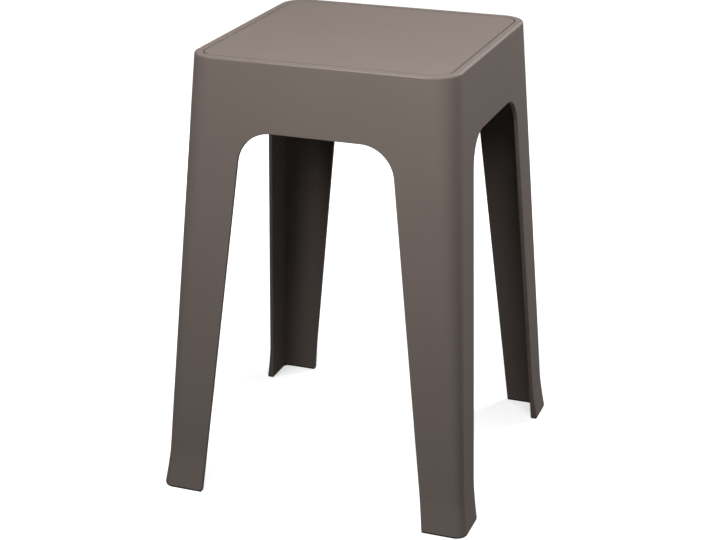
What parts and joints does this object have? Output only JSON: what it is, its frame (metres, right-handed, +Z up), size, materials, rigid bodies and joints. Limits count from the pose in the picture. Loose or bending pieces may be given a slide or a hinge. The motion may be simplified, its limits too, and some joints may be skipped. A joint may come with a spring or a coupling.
{
  "type": "stool",
  "caption": "Square moulded plastic stool with a flat seat panel, arched skirts and splayed angle-section legs on soft foot pads.",
  "frame": {"origin": "on the floor under the seat's centre", "axes": "+Z up, -Y to the front, +X to the right seen from the front"},
  "size_m": [0.325, 0.325, 0.45],
  "materials": {
    "body_plastic": "fine moulded grain, taupe",
    "seat_plastic": "fine moulded grain, taupe",
    "pad_rubber": "soft matte, dark"
  },
  "bodies": {
    "root": {"body": "body_plastic", "seat_panel": "seat_plastic", "foot_pad_front_left": "pad_rubber", "foot_pad_front_right": "pad_rubber", "foot_pad_rear_left": "pad_rubber", "foot_pad_rear_right": "pad_rubber"}
  },
  "joints": []
}
